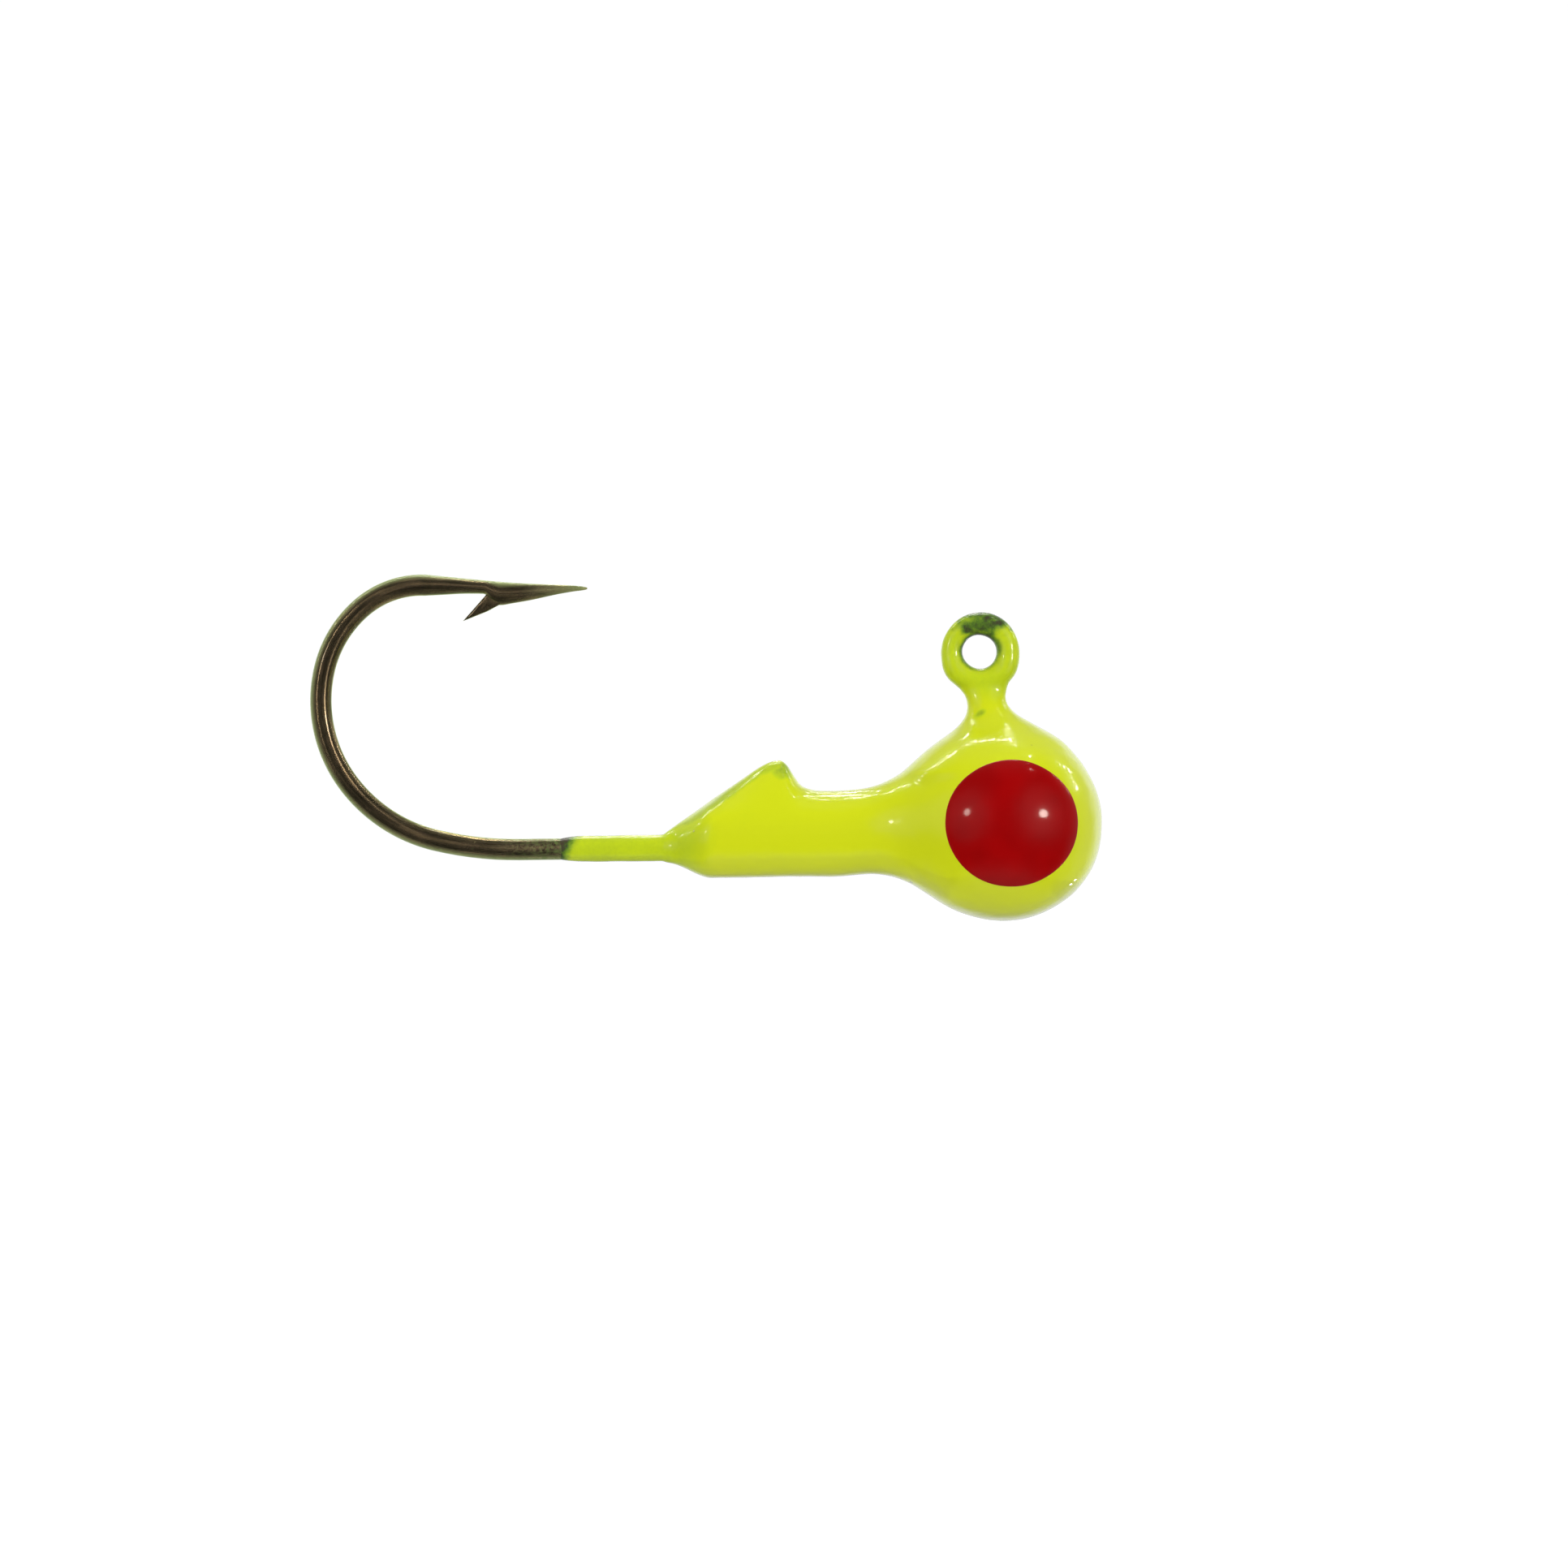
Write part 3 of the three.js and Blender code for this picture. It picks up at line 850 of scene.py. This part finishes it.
class JIG_OT_coat(Operator):
    """Dip the head, the neck, the line eye and the start of the shank in one skin of coat"""

    bl_idname = "jig.coat"
    bl_label = "Dipped Coat"

    def execute(self, context):
        settings = context.scene.jig_head
        bm = bmesh.new()
        turned_head(bm)
        loft(bm, neck_sections(), 64)
        line_eye(bm)
        loft(bm, shank_sleeve_sections(), 48)
        bmesh.ops.recalc_face_normals(bm, faces=bm.faces)
        raw = bpy.data.meshes.new("coat_raw")
        bm.to_mesh(raw)
        bm.free()
        steps = [
            ("REMESH", {"mode": "VOXEL", "voxel_size": settings.coat_detail * 1000, "adaptivity": 0.0}),
            ("SMOOTH", {"factor": 0.5, "iterations": 8}),
        ]
        mesh = finished_mesh(raw, "coat_skin", steps)
        blend_neck(mesh)
        normals = [Vector(vert.normal) for vert in mesh.vertices]
        film = mesh.attributes.new("film", "FLOAT", "POINT")
        values = []
        for vert, normal in zip(mesh.vertices, normals):
            place = vert.co.copy()
            values.append(film_at(place))
            vert.co = place + normal * skin_ripple(place)
        film.data.foreach_set("value", values)
        to_metres(mesh)
        place_piece("coat_skin", mesh, chartreuse_material(settings), "paint_coat")
        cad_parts["head_casting"].data.materials.clear()
        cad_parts["head_casting"].data.materials.append(lead_material())
        return {"FINISHED"}


# ---- the enamel eyes ----

EYE_FORWARD = 0.175
EYE_SIDES = 120
# rings from the rim to the middle, as shares of the half width
EYE_RINGS = (0.985, 0.965, 0.94, 0.91, 0.87, 0.82, 0.76, 0.68, 0.6, 0.5, 0.4, 0.3, 0.2, 0.1)
# how far the rim is sunk in the coat, and how far the back lies behind the front, in metres
EYE_SUNK = 0.00001
EYE_BACK = 0.00008


class EyeSettings(PropertyGroup):
    width: FloatProperty(
        name="Width", description="Width of the enamel eye", default=0.00429, unit="LENGTH", precision=5
    )
    height: FloatProperty(
        name="Height", description="Height of the enamel eye", default=0.00409, unit="LENGTH", precision=5
    )
    thickness: FloatProperty(
        name="Thickness",
        description="Enamel at the middle of the eye",
        default=0.00006,
        unit="LENGTH",
        precision=6,
    )
    enamel_color: FloatVectorProperty(
        name="Enamel Color",
        description="Color of the eyes",
        default=(0.36, 0.0012, 0.0018),
        subtype="COLOR",
    )


def enamel_eye(settings, side, skin):
    """A thin drop of enamel that lies on the coat, with a rounded rim."""
    bm = bmesh.new()
    turned = Matrix.Rotation(math.pi / 2, 4, "X")
    rim = bmesh.ops.create_circle(bm, cap_ends=False, radius=1, segments=EYE_SIDES, matrix=turned)["verts"]
    edges = list({edge for vert in rim for edge in vert.link_edges})
    size = 1.0
    for smaller in EYE_RINGS:
        ring, edges = grow_ring(bm, edges)
        bmesh.ops.scale(bm, vec=(smaller / size,) * 3, verts=ring)
        size = smaller
    bmesh.ops.edgeloop_fill(bm, edges=edges)
    centre = Vector((BALL_X + EYE_FORWARD, 0, BALL_Z))
    for vert in bm.verts:
        share = math.hypot(vert.co.x, vert.co.z)
        wobble = 1 + 0.012 * noise.noise(Vector((vert.co.x * 1.4, side * 2.0, vert.co.z * 1.4)))
        x = centre.x + vert.co.x * wobble * settings.width * 500
        z = centre.z + vert.co.z * wobble * settings.height * 500
        hit, normal, _, _ = skin.ray_cast(Vector((x * MM, side * 0.01, z * MM)), Vector((0, -side, 0)))
        if hit is None:
            raise RuntimeError("the enamel eye misses the coat")
        rise = settings.thickness * math.sqrt(max(0.0, 1 - share**6)) - EYE_SUNK
        vert.co = hit + normal * rise
    bmesh.ops.recalc_face_normals(bm, faces=bm.faces)
    outward = sum(face.normal.y for face in bm.faces) * side
    if outward < 0:
        bmesh.ops.reverse_faces(bm, faces=bm.faces)
    bm.normal_update()
    bmesh.ops.solidify(bm, geom=bm.faces[:], thickness=EYE_BACK)
    bmesh.ops.recalc_face_normals(bm, faces=bm.faces)
    name = "enamel_eye_right" if side < 0 else "enamel_eye_left"
    mesh = bpy.data.meshes.new(name)
    bm.to_mesh(mesh)
    bm.free()
    mesh.shade_smooth()
    return mesh


class JIG_OT_eyes(Operator):
    """Lay an enamel eye on each side of the ball"""

    bl_idname = "jig.eyes"
    bl_label = "Enamel Eyes"

    def execute(self, context):
        settings = context.scene.jig_eyes
        coat = context.scene.objects.get("coat_skin")
        if coat is None:
            raise RuntimeError("the eyes need the dipped coat first")
        skin = BVHTree.FromObject(coat, context.evaluated_depsgraph_get())
        material = enamel_material(settings)
        for side, node in ((-1, "eye_spot_right"), (1, "eye_spot_left")):
            mesh = enamel_eye(settings, side, skin)
            place_piece(mesh.name, mesh, material, node)
        return {"FINISHED"}


# ---- the stage ----

# the middle of the view, in metres
VIEW_X = -0.006327
VIEW_Z = -0.0042575
LAMP_DISTANCE = 0.4
WARM = (1.0, 0.93, 0.83)
WHITE = (1, 1, 1)
# small lamps seen in the gloss: name, direction, radius and radiance
GLOSS_LAMPS = (
    ("lamp_right", (0.70, -0.69, 0.165), 0.035, 33),
    ("lamp_left", (-0.69, -0.70, 0.22), 0.024, 17),
)
# broad lamps that light the pieces but don't show in the gloss: name, direction and radiance
FILL_RADIUS = 0.22
FILL_LAMPS = (
    ("fill_right", (0.75, -0.7, 0.2), 3.0),
    ("fill_left", (-0.75, -0.7, 0.2), 2.7),
    ("fill_above", (0.0, 0.1, 1.0), 1.45),
    ("fill_below", (0.0, -0.1, -1.0), 2.6),
    ("fill_nose", (1.0, 0.3, 0.0), 0.8),
    ("fill_tail", (-1.0, 0.3, 0.0), 0.8),
)
# chips that make the broken highlights: their distance from the coat, their glow, the share of
# the spacing that half a chip fills, and the least and most that half a chip may be, in metres
CHIP_REACH = 0.25
CHIP_GLOW = 34.0
CHIP_SHARE = 0.26
CHIP_LEAST = 0.0008
CHIP_MOST = 0.003
# radius of the ring of places, in millimetres, over which the coat's normal is averaged
CHIP_SPREAD = 0.09


class StageSettings(PropertyGroup):
    lens: FloatProperty(name="Lens", description="Focal length in millimetres", default=150.0)
    view_width: FloatProperty(
        name="View Width", description="Width seen at the jig", default=0.05062, unit="LENGTH", precision=4
    )
    floor_drop: FloatProperty(
        name="Floor Drop", description="Floor below the line eye", default=0.06, unit="LENGTH", precision=3
    )


# rows of broken highlights in the gloss: first and last place (x, z) in millimetres, how many chips,
# and their stretch
SPARKLES = (
    ((-0.15, -2.87), (0.42, -2.82), 5, 1.6),
    ((0.62, -2.83), (1.0, -2.84), 4, 1.2),
    ((-1.24, -3.56), (-0.86, -3.28), 5, 1.6),
    ((-2.8, -4.45), (-1.95, -4.14), 6, 1.6),
    ((2.56, -3.62), (2.86, -3.8), 3, 1.6),
    ((2.93, -4.05), (3.12, -4.4), 3, 1.6),
    ((2.95, -7.5), (3.08, -7.36), 2, 1.6),
    ((-6.0, -4.66), (-3.4, -4.61), 16, 1.7),
    ((-5.6, -4.54), (-3.3, -4.49), 14, 1.0),
)


def disc_lamp(name, direction, radius, radiance, color, centre, glossy):
    """A round lamp that faces the centre, and either shows in the gloss or lights the pieces."""
    data = bpy.data.lights.new(name, "AREA")
    data.shape = "DISK"
    data.size = radius * 2
    data.energy = radiance * math.pi * math.pi * radius * radius
    data.color = color
    lamp = bpy.data.objects.new(name, data)
    bpy.context.scene.collection.objects.link(lamp)
    toward = Vector(direction).normalized()
    lamp.location = centre + toward * LAMP_DISTANCE
    lamp.rotation_euler = toward.to_track_quat("Z", "Y").to_euler()
    lamp.visible_camera = False
    lamp.visible_diffuse = not glossy
    lamp.visible_glossy = glossy


def sparkle_direction(skin, eye, x, z):
    """A place on the skin, and where its gloss sends the camera's ray by the mean normal around it."""
    normal = Vector()
    hit = None
    for step in range(7):
        spread = 0.0 if step == 0 else CHIP_SPREAD
        turn = step * math.pi / 3
        target = Vector((x + spread * math.cos(turn), 0, z + spread * math.sin(turn))) * MM
        ray = (target - eye).normalized()
        found, facing, _, _ = skin.ray_cast(eye, ray)
        if found is not None:
            normal += facing
            hit = hit or (found, ray)
    if hit is None:
        raise RuntimeError("a sparkle misses the coat")
    place, ray = hit
    return place, ray.reflect(normal.normalized())


def strip_lamps(skin, eye):
    """Rows of small bright chips, each set where the gloss shows it at its place in the row."""
    bm = bmesh.new()
    for first, last, count, stretch in SPARKLES:
        found = []
        for index in range(count):
            share = index / (count - 1)
            x, z = (lerp(*ends, share) for ends in zip(first, last))
            found.append(sparkle_direction(skin, eye, x, z))
        for index, (place, toward) in enumerate(found):
            before = found[max(index - 1, 0)][1]
            after = found[min(index + 1, count - 1)][1]
            span = after - before
            spacing = span.length / (1 if index in (0, count - 1) else 2)
            along = (span - toward * span.dot(toward)).normalized()
            turn = Matrix((along, toward.cross(along), toward)).transposed().to_4x4()
            half = max(CHIP_LEAST, min(CHIP_SHARE * spacing * CHIP_REACH, CHIP_MOST))
            chip = Matrix.Diagonal((half, half * stretch, 1, 1))
            where = Matrix.Translation(place + toward * CHIP_REACH) @ turn @ chip
            bmesh.ops.create_grid(bm, x_segments=1, y_segments=1, size=1, matrix=where)
    mesh = bpy.data.meshes.new("strip_lamps")
    bm.to_mesh(mesh)
    bm.free()
    glow = Nodes("strip_glow")
    glow.shader.inputs["Base Color"].default_value = (0, 0, 0, 1)
    glow.shader.inputs["Emission Color"].default_value = (1, 0.98, 0.92, 1)
    glow.shader.inputs["Emission Strength"].default_value = CHIP_GLOW
    mesh.materials.append(glow.material)
    strips = bpy.data.objects.new("strip_lamps", mesh)
    bpy.context.scene.collection.objects.link(strips)
    strips.visible_camera = False
    strips.visible_diffuse = False
    strips.visible_shadow = False


def world_range(tree, value, low, high, to_low, to_high):
    """A smooth step of the world's light between two levels."""
    node = tree.nodes.new("ShaderNodeMapRange")
    node.interpolation_type = "SMOOTHSTEP"
    for name, number in (("From Min", low), ("From Max", high), ("To Min", to_low), ("To Max", to_high)):
        node.inputs[name].default_value = number
    tree.links.new(value, node.inputs["Value"])
    return node.outputs["Result"]


def studio_world():
    """White behind the jig and dim in front of it, and plain white where nothing stands."""
    world = bpy.data.worlds.new("studio")
    bpy.context.scene.world = world
    world.use_nodes = True
    tree = world.node_tree
    tree.nodes.clear()
    output = tree.nodes.new("ShaderNodeOutputWorld")
    direction = tree.nodes.new("ShaderNodeTexCoord")
    parts = tree.nodes.new("ShaderNodeSeparateXYZ")
    tree.links.new(direction.outputs["Generated"], parts.inputs["Vector"])
    sideways = tree.nodes.new("ShaderNodeMath")
    sideways.operation = "ABSOLUTE"
    tree.links.new(parts.outputs["X"], sideways.inputs[0])
    wider = tree.nodes.new("ShaderNodeMath")
    wider.operation = "MULTIPLY_ADD"
    wider.inputs[1].default_value = 0.25
    tree.links.new(sideways.outputs["Value"], wider.inputs[0])
    tree.links.new(parts.outputs["Y"], wider.inputs[2])
    both = tree.nodes.new("ShaderNodeMath")
    behind = world_range(tree, wider.outputs["Value"], 0.72, 0.96, 0.0, 0.65)
    aside = world_range(tree, wider.outputs["Value"], 0.0, 0.7, 0.012, 0.36)
    tree.links.new(behind, both.inputs[0])
    tree.links.new(aside, both.inputs[1])
    light = tree.nodes.new("ShaderNodeBackground")
    light.inputs["Color"].default_value = (0.97, 1.0, 0.99, 1)
    tree.links.new(both.outputs["Value"], light.inputs["Strength"])
    plain = tree.nodes.new("ShaderNodeBackground")
    plain.inputs["Color"].default_value = (1, 1, 1, 1)
    plain.inputs["Strength"].default_value = 1.02
    path = tree.nodes.new("ShaderNodeLightPath")
    choose = tree.nodes.new("ShaderNodeMixShader")
    tree.links.new(path.outputs["Is Camera Ray"], choose.inputs["Fac"])
    tree.links.new(light.outputs["Background"], choose.inputs[1])
    tree.links.new(plain.outputs["Background"], choose.inputs[2])
    tree.links.new(choose.outputs["Shader"], output.inputs["Surface"])


def pale_floor(settings):
    """A wide white floor under the jig, which neither lights it nor shows in its gloss."""
    bm = bmesh.new()
    place = Matrix.Translation((0, 0, -settings.floor_drop))
    bmesh.ops.create_grid(bm, x_segments=4, y_segments=4, size=3.0, matrix=place)
    mesh = bpy.data.meshes.new("floor")
    bm.to_mesh(mesh)
    bm.free()
    n = Nodes("pale_floor")
    n.shader.inputs["Base Color"].default_value = (0.2, 0.2, 0.2, 1)
    n.shader.inputs["Roughness"].default_value = 1.0
    n.shader.inputs["Emission Color"].default_value = (1, 1, 1, 1)
    n.shader.inputs["Emission Strength"].default_value = 1.0
    mesh.materials.append(n.material)
    floor = bpy.data.objects.new("floor", mesh)
    bpy.context.scene.collection.objects.link(floor)
    floor.visible_glossy = False
    floor.visible_diffuse = False


class JIG_OT_stage(Operator):
    """Set the camera, the white surroundings, the floor and the lamps"""

    bl_idname = "jig.stage"
    bl_label = "Studio Stage"

    def execute(self, context):
        settings = context.scene.jig_stage
        low, high = CAD_BOUNDS
        centre = (Vector(low) + Vector(high)) / 2
        data = bpy.data.cameras.new("camera")
        data.lens = settings.lens
        data.sensor_width = 36.0
        data.clip_start = 0.005
        data.clip_end = 20.0
        camera = bpy.data.objects.new("camera", data)
        context.scene.collection.objects.link(camera)
        distance = settings.view_width * settings.lens / data.sensor_width
        camera.location = (VIEW_X, -distance, VIEW_Z)
        camera.rotation_euler = (math.pi / 2, 0, 0)
        context.scene.camera = camera
        studio_world()
        pale_floor(settings)
        coat = context.scene.objects.get("coat_skin")
        if coat is None:
            raise RuntimeError("the stage needs the dipped coat first")
        strip_lamps(BVHTree.FromObject(coat, context.evaluated_depsgraph_get()), camera.location.copy())
        ball = Vector((BALL_X, 0, BALL_Z)) * MM
        for name, direction, radius, radiance in GLOSS_LAMPS:
            disc_lamp(name, direction, radius, radiance, WARM, ball, glossy=True)
        for name, direction, radiance in FILL_LAMPS:
            disc_lamp(name, direction, FILL_RADIUS, radiance, WHITE, centre, glossy=False)
        context.scene.view_settings.view_transform = "Standard"
        return {"FINISHED"}


# ---- panel and registration ----


class JIG_PT_panel(Panel):
    """Sizes, colors and steps of the jig"""

    bl_label = "Ball-Head Jig"
    bl_idname = "JIG_PT_panel"
    bl_space_type = "VIEW_3D"
    bl_region_type = "UI"
    bl_category = "Jig"

    def draw(self, context):
        scene = context.scene
        for title, settings, step in (
            ("Hook", scene.jig_hook, JIG_OT_hook),
            ("Head", scene.jig_head, JIG_OT_coat),
            ("Eyes", scene.jig_eyes, JIG_OT_eyes),
            ("Stage", scene.jig_stage, JIG_OT_stage),
        ):
            box = self.layout.box()
            box.label(text=title)
            for name in settings.__annotations__:
                box.prop(settings, name)
            box.operator(step.bl_idname)


CLASSES = (
    HookSettings,
    HeadSettings,
    EyeSettings,
    StageSettings,
    JIG_OT_hook,
    JIG_OT_coat,
    JIG_OT_eyes,
    JIG_OT_stage,
    JIG_PT_panel,
)


def register():
    for cls in CLASSES:
        bpy.utils.register_class(cls)
    bpy.types.Scene.jig_hook = PointerProperty(type=HookSettings)
    bpy.types.Scene.jig_head = PointerProperty(type=HeadSettings)
    bpy.types.Scene.jig_eyes = PointerProperty(type=EyeSettings)
    bpy.types.Scene.jig_stage = PointerProperty(type=StageSettings)


def unregister():
    del bpy.types.Scene.jig_hook
    del bpy.types.Scene.jig_head
    del bpy.types.Scene.jig_eyes
    del bpy.types.Scene.jig_stage
    for cls in reversed(CLASSES):
        bpy.utils.unregister_class(cls)


def main():
    register()
    bpy.ops.jig.hook()
    bpy.ops.jig.coat()
    bpy.ops.jig.eyes()
    bpy.ops.jig.stage()


if __name__ == "__main__":
    main()
